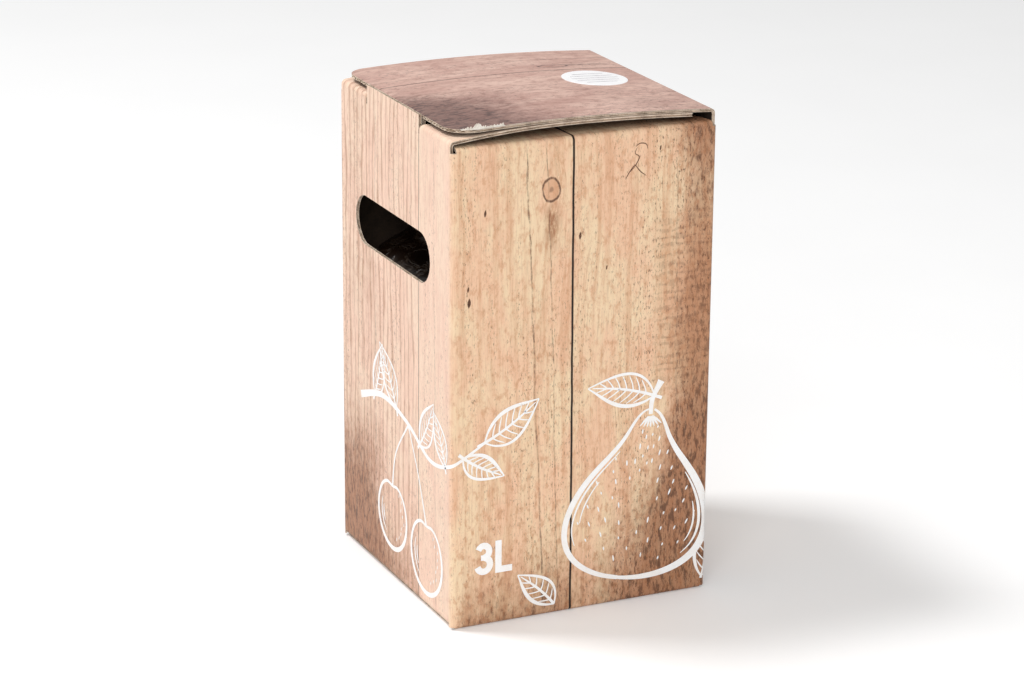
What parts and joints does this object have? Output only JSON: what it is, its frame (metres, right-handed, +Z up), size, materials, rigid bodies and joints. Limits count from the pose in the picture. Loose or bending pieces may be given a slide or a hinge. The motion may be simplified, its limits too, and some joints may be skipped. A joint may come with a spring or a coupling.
{
  "type": "bag in box carton",
  "caption": "Upright corrugated carton for a liquid bag, with a tuck lid, a hand hole, a tear-out tap door, and the filled bag with its spout and push-button tap inside.",
  "frame": {"origin": "centre of the carton's bottom, on the surface it stands on", "axes": "+Z up, the front wall faces -Y, the hand hole is in the wall at -X, the tap door in the wall at +X, which also carries the lid"},
  "size_m": [0.136, 0.136, 0.2444],
  "materials": {
    "printed_board": "corrugated board with a printed, softly glossy liner",
    "bag_film": "clear film over dark juice",
    "spout_plastic": "natural moulded polyethylene",
    "tap_plastic": "white moulded polypropylene",
    "diaphragm_rubber": "moulded elastomer",
    "button_plastic": "red moulded polypropylene"
  },
  "bodies": {
    "box": {"carton": "printed_board", "bag": "bag_film", "spout": "spout_plastic", "tap_body": "tap_plastic", "tap_cap": "tap_plastic", "tap_diaphragm": "diaphragm_rubber"},
    "lid": {"lid": "printed_board"},
    "plunger": {"tap_button": "button_plastic", "tap_stem": "tap_plastic"}
  },
  "joints": [
    {"name": "lid_hinge", "type": "hinge", "parent": "box", "child": "lid", "pos_m": [0.068, 0, 0.2414], "axis": [0, 1, 0], "range_deg": [0, 260]},
    {"name": "button_press", "type": "slide", "parent": "box", "child": "plunger", "axis": [-1, 0, 0], "range_m": [0, 0.003], "stiffness_N_per_m": 600, "springref_m": -0.002}
  ]
}
